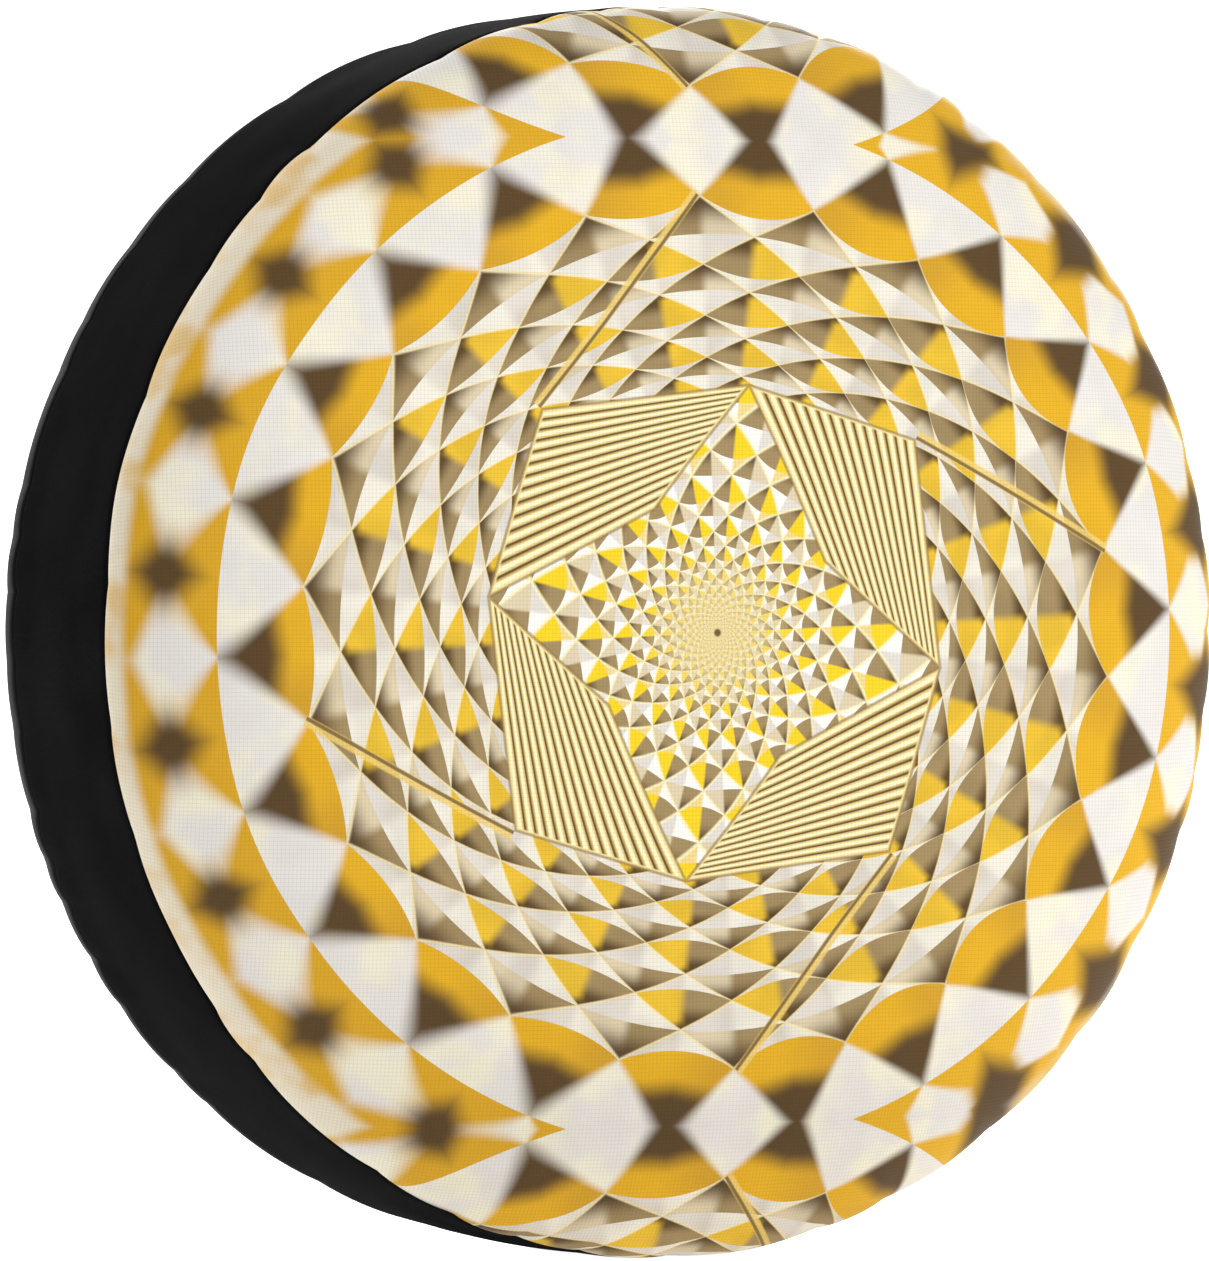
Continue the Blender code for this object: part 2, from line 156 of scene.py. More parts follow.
# Stage
CAMERA_AZIMUTH = -28.15
CAMERA_ELEVATION = 0.38
CAMERA_DISTANCE = 4.914
CAMERA_LENS = 242.2
CAMERA_AIM = (-0.0118, 0.0006)  # across and up from the cover's middle
CAMERA_TARGET_BACK = 0.0015  # how far behind the cloth's middle the camera's circle is centred
FLOOR_GAP = 0.0015
FLOOR_HALF_WIDTH = 14
FLOOR_FRONT = -9.0
BACKDROP_START = 7.0
BACKDROP_CURVE = 2.0
BACKDROP_TOP = 9.0
FLOOR_GLOW = 0.36
ROOM_LIGHT = 0.48
LIGHTS = (  # name, place, what it points at, width, watts
    ("key", (1.2, -3.9, 4.0), (0, 0.05, 0), 2.4, 112),
    ("back", (-1.8, 3.6, 2.6), (0, 0.15, 0), 2.0, 90),
    ("rake", (2.2, 2.6, 2.0), (0, 0.2, 0), 0.9, 130),
)

radius = cad_high.z
face_low, face_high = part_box("front_panel")
band_low, band_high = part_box("tread_band")
rear_low, rear_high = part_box("rear_panel")
hem_low, hem_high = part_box("hem_channel")
face_y = face_low.y
front_seam_y = (face_high.y + band_low.y) / 2
rear_seam_y = (band_high.y + rear_low.y) / 2
rear_y = rear_high.y
seam_radius = face_high.z
hem_radius = hem_high.z
strap_low, strap_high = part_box("upper_strap_adjustable")
strap_height = (strap_low.z + strap_high.z) / 2
webbing_width = strap_high.z - strap_low.z
rng = random.Random(7)


# ---------------------------------------------------------------- shader maths


class Field:
    """A value that varies over a surface. Its operators add Math nodes to the finish it belongs to."""

    def __init__(self, finish, socket):
        self.finish = finish
        self.socket = socket

    def _with(self, operation, *others):
        return self.finish.math(operation, self, *others)

    def __add__(self, other):
        return self._with("ADD", other)

    __radd__ = __add__

    def __sub__(self, other):
        return self._with("SUBTRACT", other)

    def __rsub__(self, other):
        return self.finish.math("SUBTRACT", other, self)

    def __mul__(self, other):
        return self._with("MULTIPLY", other)

    __rmul__ = __mul__

    def __truediv__(self, other):
        return self._with("DIVIDE", other)

    def __rtruediv__(self, other):
        return self.finish.math("DIVIDE", other, self)

    def __neg__(self):
        return self._with("MULTIPLY", -1.0)

    def __lt__(self, other):
        return self._with("LESS_THAN", other)

    def __gt__(self, other):
        return self._with("GREATER_THAN", other)


def unwrap(value):
    return value.socket if isinstance(value, Field) else value


def add_node(tree, kind, settings=None, inputs=None):
    """Adds a node: its settings first, then the values or links of its sockets."""
    node = tree.nodes.new(kind)
    for key, value in (settings or {}).items():
        setattr(node, key, value)
    for key, value in (inputs or {}).items():
        value = unwrap(value)
        if isinstance(value, bpy.types.NodeSocket):
            tree.links.new(value, node.inputs[key])
        else:
            node.inputs[key].default_value = value
    return node


class Finish:
    """A material made of nodes round one Principled shader."""

    def __init__(self, name, roughness, **fixed):
        self.material = bpy.data.materials.new(name)
        self.material.use_nodes = True
        self.tree = self.material.node_tree
        self.shader = self.tree.nodes["Principled BSDF"]
        self.shader.inputs["Roughness"].default_value = roughness
        for socket, value in fixed.items():
            self.shader.inputs[socket.replace("_", " ")].default_value = value

    def node(self, kind, settings=None, inputs=None, output=0):
        return Field(self, add_node(self.tree, kind, settings, inputs).outputs[output])

    def math(self, operation, *values):
        return self.node("ShaderNodeMath", {"operation": operation}, dict(enumerate(values)))

    def smooth(self, low, high, value):
        """0 below low, 1 above high, and an even curve between."""
        inputs = {"Value": value, "From Min": low, "From Max": high}
        return self.node("ShaderNodeMapRange", {"interpolation_type": "SMOOTHSTEP"}, inputs)

    def least(self, *values):
        found = values[0]
        for value in values[1:]:
            found = self.math("MINIMUM", found, value)
        return found

    def most(self, a, b):
        return self.math("MAXIMUM", a, b)

    def size(self, value):
        return self.math("ABSOLUTE", value)

    def log(self, value):
        return self.math("LOGARITHM", value, math.e)

    def part(self, value):
        """The part of a number past its whole number below."""
        return self.math("FRACT", value)

    def mix(self, low, high, share):
        """A colour between two colours."""
        inputs = {"Factor": share, 6: low, 7: high}
        return self.node("ShaderNodeMix", {"data_type": "RGBA"}, inputs, output=2)

    def shade(self, colour, share):
        """A colour made darker: share 0 leaves it, 1 is black."""
        return self.mix(colour, (0, 0, 0, 1), share)

    def split(self, vector):
        node = add_node(self.tree, "ShaderNodeSeparateXYZ", inputs={0: vector})
        return [Field(self, socket) for socket in node.outputs]

    def uv(self, name):
        return self.node("ShaderNodeUVMap", {"uv_map": name})

    def place(self):
        """Where the surface is on the object."""
        return self.node("ShaderNodeTexCoord", output=3)

    def noise(self, vector, scale, detail=2.0, roughness=0.5):
        inputs = {"Vector": vector, "Scale": scale, "Detail": detail, "Roughness": roughness}
        return self.node("ShaderNodeTexNoise", {}, inputs)

    def colour(self, value):
        self.feed("Base Color", value)

    def roughness(self, value):
        self.feed("Roughness", value)

    def bump(self, height, strength, depth):
        inputs = {"Height": height, "Strength": strength, "Distance": depth}
        self.feed("Normal", self.node("ShaderNodeBump", {}, inputs))

    def feed(self, socket, value):
        self.tree.links.new(unwrap(value), self.shader.inputs[socket])


def srgb(red, green, blue):
    """A colour given as 0 to 255 display values, as the shader's linear values."""

    def linear(v):
        v /= 255
        return v / 12.92 if v <= 0.04045 else ((v + 0.055) / 1.055) ** 2.4

    return (linear(red), linear(green), linear(blue), 1.0)


def lighter(rgb, times):
    return tuple(min(1.0, channel * times) for channel in rgb[:3]) + (1.0,)


# ---------------------------------------------------------------- finishes

COLUMNS = 22
COLUMN_START = math.radians(2.4)
MIRROR = 0.778  # height of the level the print is mirrored at, in parts of the cover's radius
WHITE = srgb(236, 231, 226)
CREAM = srgb(248, 242, 218)
GREY = srgb(228, 221, 212)
GOLD = srgb(232, 178, 26)
DEEP_GOLD = srgb(196, 146, 44)
YELLOW = srgb(250, 214, 30)
BROWN = srgb(90, 66, 31)
TAUPE = srgb(164, 140, 96)
PALE = srgb(224, 208, 174)
SOFT_GOLD = srgb(238, 194, 50)
RIDGE = srgb(252, 232, 170)
BRIGHT_RIDGE = srgb(254, 244, 196)
BRIGHT_WHITE = srgb(252, 250, 244)
RIM_CREAM = srgb(238, 230, 210)
DISC_GOLD = srgb(236, 216, 150)
MIDDLE_DOT = srgb(110, 88, 52)
GROOVE = srgb(98, 78, 44)
RIB_COLOURS = (
    (srgb(206, 172, 92), 0.04, 0.22),
    (srgb(255, 246, 200), 0.20, 0.42),
    (srgb(228, 198, 124), 0.60, 0.84),
    (GROOVE, 0.84, 0.97),
)
PANEL_EDGE = srgb(248, 228, 160)
PANEL_RIM = srgb(146, 116, 62)
FOLD_GOLD = srgb(240, 206, 112)
FOLD_DARK = srgb(104, 80, 46)
RIBS = 14.0
OUTER_RIM = 0.86  # radius where the outermost ring of the print starts, in parts of the cover's radius
INNER_RIM = 0.46
INNER_RING = 0.150  # each ring of the inner facets is this much of a logarithm in from the last
FIRST_PANEL = math.radians(82)
BLACK_CLOTH = srgb(15, 15, 16)
BLACK_TAPE = srgb(30, 30, 32)
PRINT_YARN = 0.0023
FINE_YARN = 0.0009
RIB_COLUMN = 0.0017
THREAD_TWIST = 0.0009
ELASTIC_CORD = 0.0011
ELASTIC_TUCKS = 900.0
QUARTER = math.pi / 2


def lattice(f, turn, rings, edge, even_bulge, odd_bulge):
    """Rings of alternate triangles. turn is the angle in columns and rings the ring coordinate, which grows
    inward. Every ring's corners lie half a column on from the last's, and the bulges are how far, in rings,
    the line between two corners sags inward. Gives the dark mask, how far in from the triangle's edge, the
    place across and down the ring, and the ring's number."""
    whole = f.math("FLOOR", rings)
    past = rings - whole
    place = f.part(turn - whole * 0.5)
    odd = f.part(whole * 0.5) * 2.0
    sag = (even_bulge + odd * (odd_bulge - even_bulge)) * 4.0 * place * (1.0 - place) * (whole > -0.5)
    before = past < sag
    ring = whole - before
    across = f.part(turn - ring * 0.5 + 0.5) - 0.5
    down = rings - ring
    inside = down * 0.5 - f.size(across)
    return f.smooth(-1 * edge, edge, inside), inside, across, down, ring


def side_of(x, y, start, end):
    """How far a point lies to the left of the line from start to end."""
    dx, dy = end[0] - start[0], end[1] - start[1]
    length = math.hypot(dx, dy)
    nx, ny = -dy / length, dx / length
    return x * nx + y * ny - (start[0] * nx + start[1] * ny)


def polar(distance, degrees):
    turn = math.radians(degrees)
    return distance * math.cos(turn), distance * math.sin(turn)


def plain_weave(f, across, along, pitch):
    """1 in the middle of each yarn and 0 in the gaps between."""
    yarn = f.size(f.math("SINE", across * (math.pi / pitch)))
    other = f.size(f.math("SINE", along * (math.pi / pitch)))
    return f.least(yarn, other)


def outer_facets(f, x, y, distance, angle):
    """The large facets from the rim in to the ribbed panels."""
    t = f.log(OUTER_RIM / distance)
    # The rings get closer past the knee, with a soft change between.
    knee = (t - 0.183) / 0.04
    soft = f.most(knee, 0.0) + f.log(1.0 + f.math("EXPONENT", -1 * f.size(knee)))
    rings = f.most(5.0 * t + 0.34 * soft, -0.999)
    turn = (angle - COLUMN_START) * (COLUMNS / math.tau)
    leftward = f.smooth(0.5, -0.5, x)
    blur = 0.02 + f.smooth(0.60, 0.95, distance) * (0.05 + 0.08 * leftward)
    odd_bulge = 0.60 - 0.32 * leftward
    dark, inside, across, down, ring = lattice(f, turn, rings, blur, 0.0, odd_bulge)

    is_small = ring > 0.5
    is_rim = ring < -0.5
    is_odd = f.part(ring * 0.5) * 2.0
    split = f.smooth(-0.06, 0.06, across)
    glow = f.mix(GOLD, DEEP_GOLD, f.smooth(-0.1, 0.4, across) * 0.5)
    big_dark = f.mix(BROWN, glow, f.smooth(0.52, 0.90, down + 0.35 * f.size(across)))
    brown_half = f.mix(BROWN, TAUPE, f.smooth(0.3, 0.9, down))
    gold_half = f.mix(BROWN, SOFT_GOLD, f.smooth(0.05, 0.40, down + f.size(across)))
    even_dark = f.mix(gold_half, brown_half, split)
    odd_dark = f.mix(BROWN, f.mix(PALE, TAUPE, split), f.smooth(0.1, 0.85, down))
    small_dark = f.mix(even_dark, odd_dark, is_odd)
    dark_colour = f.mix(big_dark, small_dark, is_small)

    flat = f.node("ShaderNodeCombineXYZ", {}, {0: x, 1: y})
    cloud = f.noise(flat, 9.0)
    patch = f.smooth(0.66, 0.34, f.noise(flat, 17.0, 0.0))
    big_light = f.mix(WHITE, CREAM, f.smooth(0.42, 0.66, cloud))
    inner_across = f.size(across) - 0.5
    lit = f.smooth(-0.06, 0.06, inner_across * f.math("SIGN", across))
    dim = f.mix(GREY, PALE, f.smooth(0.0, 1.0, down) * 0.35)
    small_light = f.mix(dim, f.mix(WHITE, CREAM, 0.5), lit)
    facets = f.mix(f.mix(big_light, small_light, is_small), dark_colour, dark)
    facets = f.shade(facets, patch * (0.03 + 0.07 * is_small))
    line = f.smooth(0.035, 0.0, f.size(inside)) * is_small
    facets = f.mix(facets, RIDGE, line * 0.75)
    return f.mix(facets, rim_blobs(f, distance, across, leftward, big_light, cloud), is_rim)


def rim_blobs(f, distance, across, leftward, light, wisps):
    """The outermost ring: pale blobs out from every corner, with a brown spot in gold between them, and a
    cream edge with wisps in it. leftward is 1 on the left of the print, where its edges are softest."""
    neck = f.most(1.0 - (distance - OUTER_RIM) / 0.060, 0.0)
    wide = 0.21 + 0.29 * neck + 0.34 * f.smooth(0.950, 1.005, distance)
    soft = 0.03 + (0.04 + 0.08 * leftward) * f.smooth(0.84, 0.93, distance)
    gold = f.smooth(-1 * soft, soft, wide - f.size(across))
    spot_radius = 0.975 - 0.030 * leftward
    spot_depth = 0.110 - 0.036 * leftward
    spot = f.size(distance - spot_radius) / spot_depth + f.size(across) / 0.36
    halo = f.mix(GOLD, DEEP_GOLD, leftward * 0.25)
    between = f.mix(BROWN, halo, f.smooth(0.42 - 0.16 * leftward, 1.15, spot))
    ring = f.mix(light, between, gold)
    wisp = 0.92 - 0.55 * f.smooth(0.46, 0.68, wisps)
    paled = f.smooth(0.996, 1.022, distance) * wisp * (0.3 + 0.7 * leftward)
    return f.mix(ring, RIM_CREAM, paled)


def inner_facets(f, distance, angle):
    """The small bright facets that run down to the middle."""
    rings = f.log(INNER_RIM / distance) / INNER_RING
    turn = (angle - COLUMN_START) * (COLUMNS / math.tau)
    dark, inside, across, down, ring = lattice(f, turn, rings, 0.02, 0.10, 0.35)
    split = f.smooth(-0.03, 0.03, across)
    is_odd = f.part(ring * 0.5) * 2.0
    brown_half = f.mix(BROWN, TAUPE, f.smooth(0.1, 0.8, down))
    dark_colour = f.mix(f.mix(YELLOW, PALE, is_odd), brown_half, split)
    inner_across = f.size(across) - 0.5
    lit = f.smooth(-0.03, 0.03, inner_across * f.math("SIGN", across))
    light_colour = f.mix(f.mix(GREY, YELLOW, is_odd * 0.6), BRIGHT_WHITE, lit)
    facets = f.mix(light_colour, dark_colour, dark)
    line = f.smooth(0.075, 0.0, f.size(inside))
    facets = f.mix(facets, BRIGHT_RIDGE, line * 0.85)
    disc = f.smooth(0.15, 0.04, distance)
    return f.mix(facets, DISC_GOLD, disc * 0.7)


def ribbed_panels(f, x, y, beyond):
    """Colour of the ribs, which fan from one edge of a panel to the edge across it."""
    apex, corner, next_apex, heel = panel_corners()
    near = side_of(x, y, apex, corner)
    far = side_of(x, y, next_apex, heel)
    rib = f.part(near / (near + far) * RIBS)
    colour = GROOVE
    for next_colour, start, end in RIB_COLOURS:
        colour = f.mix(colour, next_colour, f.smooth(start, end, rib))
    return f.mix(colour, PANEL_EDGE, f.smooth(0.007, 0.003, beyond))


def fold_line(f, x, y, start, end):
    """A thin dark line with a pale one beside it. Gives both masks, the pale one first."""
    length = math.dist(start, end)
    way = ((end[0] - start[0]) / length, (end[1] - start[1]) / length)
    beside = side_of(x, y, start, end)
    run = (x - start[0]) * way[0] + (y - start[1]) * way[1]
    on_run = (run > -0.01) * (run < length)
    pale = f.smooth(0.010, 0.006, f.size(beside - 0.003)) * on_run
    return pale, f.smooth(0.0045, 0.0015, f.size(beside + 0.001)) * on_run


def panel_corners():
    """A ribbed panel's corners: two on the square's corners, one outside and one inside."""
    return polar(0.41, 0), polar(0.475, 49), polar(0.41, 90), polar(0.225, 38)


def printed_cloth():
    """The face's print: facets in rings, four ribbed panels round smaller facets, and four folds."""
    f = Finish("printed_cloth", 0.75, Sheen_Weight=0.08, Sheen_Roughness=0.5, Specular_IOR_Level=0.25)
    across, along, _ = f.split(f.uv("cut"))
    x = across * (1 / radius)
    y = along * (1 / radius)
    # The print is mirrored above and below a level near the top and bottom.
    y = (MIRROR - f.size(MIRROR - f.size(y))) * f.math("SIGN", y)
    y = y * (1.0 + 0.055 * f.smooth(0.2, 0.5, f.size(y)))
    distance = f.most(f.math("SQRT", x * x + y * y), 0.0005)
    angle = f.math("ARCTAN2", y, x)

    # The panels repeat every quarter turn, so one quarter is drawn and turned.
    quarters = (angle - FIRST_PANEL) / QUARTER + 4.0
    turned_angle = f.part(quarters) * QUARTER
    px = distance * f.math("COSINE", turned_angle)
    py = distance * f.math("SINE", turned_angle)
    apex, corner, next_apex, heel = panel_corners()
    outer = f.least(side_of(px, py, apex, corner), side_of(px, py, corner, next_apex))
    inner = f.least(side_of(px, py, next_apex, heel), side_of(px, py, heel, apex))

    colour = outer_facets(f, x, y, distance, angle)
    colour = f.mix(colour, inner_facets(f, distance, angle), outer > 0.0)
    beyond = f.least(outer, inner)
    colour = f.mix(colour, ribbed_panels(f, px, py, beyond), beyond > 0.0)
    edge = f.smooth(0.004, 0.001, f.size(inner)) * (outer > -0.002)
    rim = f.smooth(0.004, 0.001, f.size(outer)) * (inner > -0.002)
    colour = f.mix(colour, PANEL_RIM, f.most(edge, rim) * 0.7)

    # Folds in the print, one from each panel's outer corner. Those at the sides run flatter.
    side_fold = f.part(f.math("FLOOR", quarters) * 0.5) * 2.0
    for end, share in ((polar(0.73, 10.8), 1.0 - side_fold), (polar(0.73, 18.3), side_fold)):
        gold_line, dark_line = fold_line(f, px, py, polar(0.485, 48), end)
        colour = f.mix(colour, FOLD_GOLD, gold_line * share * 0.85)
        colour = f.mix(colour, FOLD_DARK, dark_line * share * 0.85)
    colour = f.mix(colour, MIDDLE_DOT, f.smooth(0.008, 0.004, distance))
    # Painted shade: the lower left, where the shoulder turns away from the light, is a little darker.
    lower_left_painted_shade = f.smooth(0.55, 1.0, distance) * f.smooth(0.3, -0.8, 0.6 * x + y)
    colour = f.shade(colour, 0.17 * lower_left_painted_shade)

    weave = plain_weave(f, across, along, PRINT_YARN)
    # Painted shade in the gaps between the yarns.
    colour = f.shade(colour, 0.17 * f.smooth(0.5, 0.0, weave))
    f.colour(colour)
    grain = f.noise(f.place(), 900.0)
    f.roughness(0.70 + 0.12 * grain)
    f.bump(f.smooth(0.0, 0.8, weave) + 0.25 * grain, 0.35, 0.0003)
    return f.material


def woven_cloth(name, rgb, pitch, wear, roughness=0.85, **fixed):
    """Plain cloth with a little fluff, uneven dye and painted shade in the gaps between its yarns. wear is
    how much lighter the worn places are.
    """
    f = Finish(name, roughness, **fixed)
    across, along, _ = f.split(f.uv("cut"))
    weave = plain_weave(f, across, along, pitch)
    worn = f.noise(f.place(), 14.0, 3.0)
    colour = f.mix(rgb, lighter(rgb, wear), f.smooth(0.3, 0.8, worn))
    # Painted shade in the gaps between the yarns.
    f.colour(f.shade(colour, 0.35 * f.smooth(0.5, 0.0, weave)))
    grain = f.noise(f.place(), 1400.0)
    f.roughness(roughness - 0.08 + 0.16 * grain)
    f.bump(f.smooth(0.0, 0.8, weave) + 0.3 * grain, 0.4, 0.0002)
    return f.material


def ribbed_tape(name, rgb, rib, roughness=0.7):
    """Webbing or tape: close ribs across it, two rows of yarn to a rib, and a firm edge, with painted shade
    in its grooves and a painted highlight on its yarns.
    """
    f = Finish(name, roughness, Sheen_Weight=0.06, Sheen_Roughness=0.4, Specular_IOR_Level=0.3)
    along, across, _ = f.split(f.uv("run"))
    column = f.part(across * (1 / RIB_COLUMN))
    lean = f.size(column - 0.5) * 2.0
    row = f.part(along * (1 / rib) + 0.5 * lean)
    yarn = f.math("SINE", row * math.pi)
    groove = f.smooth(0.0, 0.25, lean) * f.smooth(1.0, 0.75, lean)
    height = yarn * (0.4 + 0.6 * groove)
    fluff = f.noise(f.place(), 1600.0)
    # Painted shade in the grooves and painted highlight on the tops of the yarns; the fluff varies the tone
    # at random.
    share = f.smooth(0.1, 1.0, height) * 0.8 + 0.1 * fluff
    f.colour(f.mix(f.shade(rgb, 0.45), lighter(rgb, 2.2), share))
    f.roughness(roughness - 0.1 + 0.2 * fluff)
    f.bump(height + 0.15 * fluff, 0.6, 0.0003)
    return f.material


def moulded_plastic():
    """Black acetal with a fine spark-eroded grain and rubbed high spots."""
    f = Finish("moulded_plastic", 0.4, Specular_IOR_Level=0.5)
    grain = f.noise(f.place(), 2600.0, 3.0, 0.6)
    rubbed = f.noise(f.place(), 160.0, 2.0)
    f.colour(f.mix(srgb(26, 26, 28), srgb(40, 40, 43), f.smooth(0.45, 0.75, rubbed)))
    f.roughness(0.36 + 0.16 * grain + 0.08 * rubbed)
    f.bump(grain, 0.25, 0.0001)
    return f.material


def thread(name, rgb):
    """Twisted sewing thread, with a painted highlight along the crests of its twist."""
    f = Finish(name, 0.6, Sheen_Weight=0.1, Sheen_Roughness=0.4, Specular_IOR_Level=0.35)
    x, y, z = f.split(f.place())
    ply = f.math("SINE", (x + y + z) * (math.tau / THREAD_TWIST))
    # Painted highlight along the crests of the twist.
    f.colour(f.mix(rgb, lighter(rgb, 1.8), f.smooth(-1.0, 1.0, ply)))
    f.bump(ply, 0.3, 0.0001)
    return f.material


def braided_elastic():
    """Off-white elastic: cords along it, crossed by close fine tucks, with painted shade between the cords.
    """
    f = Finish("braided_elastic", 0.75, Specular_IOR_Level=0.3)
    x, y, z = f.split(f.place())
    cord = f.size(f.math("SINE", y * (math.pi / ELASTIC_CORD)))
    tuck = f.math("SINE", f.math("ARCTAN2", z, x) * ELASTIC_TUCKS)
    # Painted shade between the cords.
    f.colour(f.mix(srgb(176, 174, 166), srgb(222, 220, 212), f.smooth(0.1, 0.9, cord)))
    f.bump(cord + 0.2 * tuck, 0.5, 0.0003)
    return f.material


# ---------------------------------------------------------------- cloth shapes


def placed(name, data):
    """A new object in the scene."""
    obj = bpy.data.objects.new(name, data)
    bpy.context.scene.collection.objects.link(obj)
    return obj


def smooth_mesh(name, points, faces, layer, uvs):
    """A smooth-shaded mesh with one UV map."""
    mesh = bpy.data.meshes.new(name)
    mesh.from_pydata(points.tolist(), [], faces)
    mesh.uv_layers.new(name=layer).data.foreach_set("uv", np.array(uvs, np.float32).ravel())
    mesh.shade_smooth()
    return mesh


def arc(centre, radii, start, end, steps):
    """Points of part of an ellipse, from one angle in degrees to another."""
    turns = [math.radians(start + (end - start) * i / steps) for i in range(steps + 1)]
    return [(centre[0] + radii[0] * math.cos(t), centre[1] + radii[1] * math.sin(t)) for t in turns]


def even_line(line, step):
    """The line's points again, an even step apart."""
    points = np.array(line, float)
    lengths = np.hypot(*np.diff(points, axis=0).T)
    along = np.concatenate([[0], np.cumsum(lengths)])
    places = np.linspace(0, along[-1], max(2, round(along[-1] / step)) + 1)
    return np.column_stack([np.interp(places, along, points[:, i]) for i in range(2)])


def line_normals(line):
    """Unit normals of a line of (radius, y) points, to the left of the way it runs."""
    ways = np.gradient(line, axis=0)
    ways /= np.linalg.norm(ways, axis=1)[:, None]
    return np.column_stack([-ways[:, 1], ways[:, 0]])


def line_lengths(line):
    """How far along the line each point is."""
    return np.concatenate([[0], np.cumsum(np.hypot(*np.diff(line, axis=0).T))])


def ease(low, high, value):
    """0 at low, 1 at high, and an even curve between."""
    share = np.clip((value - low) / (high - low), 0, 1)
    return share * share * (3 - 2 * share)


def uneven_places(count, spread):
    """Places round the cover in turns of 0 to 1, an uneven step apart."""
    steps = np.array([1 + rng.uniform(-spread, spread) for _ in range(count)])
    return np.cumsum(steps) / steps.sum()


class Tucks:
    """Cloth drawn in at uneven places round a seam, swelling between them."""

    def __init__(self, count, swell, spread=0.55, reach=(1.0, 1.0)):
        self.places = uneven_places(count, spread)
        self.swells = np.array([rng.uniform(*swell) for _ in range(count)])
        self.reaches = np.array([rng.uniform(*reach) for _ in range(count)])

    def _next(self, turns):
        """The number of the next tuck on from each place."""
        return np.clip(np.searchsorted(self.places, turns % 1.0), 0, len(self.places) - 1)

    def reach(self, turns):
        """How far from the seam the swell at each place runs."""
        return self.reaches[self._next(turns)]

    def at(self, turns):
        """How far the cloth stands out, at places in turns."""
        ends = np.concatenate([[self.places[-1] - 1], self.places])
        index = self._next(turns)
        share = np.clip((turns % 1.0 - ends[index]) / (ends[index + 1] - ends[index]), 0, 1)
        return self.swells[index] * (4 * share * (1 - share)) ** 0.8


class Sway:
    """A slow uneven wave that closes on itself."""

    def __init__(self, size, waves):
        self.parts = [(n, rng.uniform(0.3, 1.0), rng.uniform(0, math.tau)) for n in waves]
        self.size = size / sum(part[1] for part in self.parts)

    def at(self, turns):
        return self.size * sum(a * np.sin(math.tau * n * turns + p) for n, a, p in self.parts)


front_tucks = Tucks(TUCK_COUNT, TUCK_SWELL)
rear_tucks = Tucks(TUCK_COUNT + 6, TUCK_SWELL)
front_sway = Sway(TUCK_SWAY, (7, 11, 17, 23, 31))
rear_sway = Sway(TUCK_SWAY, (5, 9, 13, 21))
gathers = Tucks(GATHER_COUNT, GATHER_DEPTH, spread=0.5, reach=GATHER_REACH)


def turned(line, shift):
    """Rows of points: each point of the line turned about Y. shift gives how far the cloth moves along
    its normal and along Y, from the turns and the point's number."""
    turns = np.arange(ROUND_STEPS) / ROUND_STEPS
    normals = line_normals(line)
    out, back = shift(turns[None, :], np.arange(len(line))[:, None])
    radii = line[:, :1] + normals[:, :1] * out
    depths = line[:, 1:] + normals[:, 1:] * out + back
    angle = math.tau * turns
    return np.stack([radii * np.cos(angle), depths + 0 * radii, radii * np.sin(angle)], axis=2)


def ring_grid(name, rows, cut, pole=None):
    """A mesh from rows of points closed round Y, with the UV map cut; pole closes the last row."""
    count, steps = rows.shape[:2]
    points = rows.reshape(-1, 3)
    i, j = np.meshgrid(np.arange(count - 1), np.arange(steps), indexing="ij")
    k = (j + 1) % steps
    this_row, next_row = i * steps, (i + 1) * steps
    quads = np.stack([this_row + j, this_row + k, next_row + k, next_row + j], axis=2)
    corners = np.stack([cut[i, j], cut[i, j + 1], cut[i + 1, j + 1], cut[i + 1, j]], axis=2)
    faces = quads.reshape(-1, 4).tolist()
    uvs = corners.reshape(-1, 2).tolist()
    if pole is not None:
        last = (count - 1) * steps
        points = np.vstack([points, pole])
        for n in range(steps):
            faces.append([last + n, last + (n + 1) % steps, len(points) - 1])
            uvs += [cut[-1, n].tolist(), cut[-1, n + 1].tolist(), [0.0, 0.0]]
    return placed(name, smooth_mesh(name, points, faces, "cut", uvs))


def flat_disc_cut(line):
    """UVs of a disc laid flat: each point as far from the middle as along the cloth."""
    reach = line[-1, 0] + line_lengths(line[::-1])[::-1]
    angle = math.tau * np.arange(ROUND_STEPS + 1) / ROUND_STEPS
    return np.stack([reach[:, None] * np.cos(angle), reach[:, None] * np.sin(angle)], axis=2)


def strip_cut(line, around):
    """UVs of a strip laid flat: along it is round the cover."""
    turns = np.arange(ROUND_STEPS + 1) / ROUND_STEPS
    lengths = line_lengths(line)
    across = np.broadcast_to(turns * around, (len(line), ROUND_STEPS + 1))
    return np.stack([across, np.broadcast_to(lengths[:, None], across.shape)], axis=2)


def wall(obj, thickness, inside=None):
    """Gives a sheet its thickness on the inner side, which may have a finish of its own."""
    solid = obj.modifiers.new("thickness", "SOLIDIFY")
    solid.thickness = thickness
    solid.offset = -1
    if inside:
        obj.data.materials.append(inside)
        solid.material_offset = 1
        solid.material_offset_rim = 1
    return as_plain_mesh(obj)


def as_plain_mesh(obj):
    """Works the object's modifiers into its mesh."""
    graph = bpy.context.evaluated_depsgraph_get()
    bpy.context.view_layer.update()
    mesh = bpy.data.meshes.new_from_object(obj.evaluated_get(graph))
    obj.modifiers.clear()
    obj.data = mesh
    mesh.name = obj.name
    return obj


@contextmanager
def reshaped(mesh):
    """The mesh as a bmesh, which is written back afterwards."""
    bm = bmesh.new()
    bm.from_mesh(mesh)
    yield bm
    bm.to_mesh(mesh)
    bm.free()


def dress(obj, *finishes):
    """Gives a piece its finishes."""
    for finish in finishes:
        obj.data.materials.append(finish)
    return obj


def seam_dip(lengths, end, width=SEAM_DIP_WIDTH):
    """How far the cloth turns in beside a seam at one end of its line."""
    return -SEAM_DIP * (1 - ease(0, width, np.abs(lengths - end))) ** 2


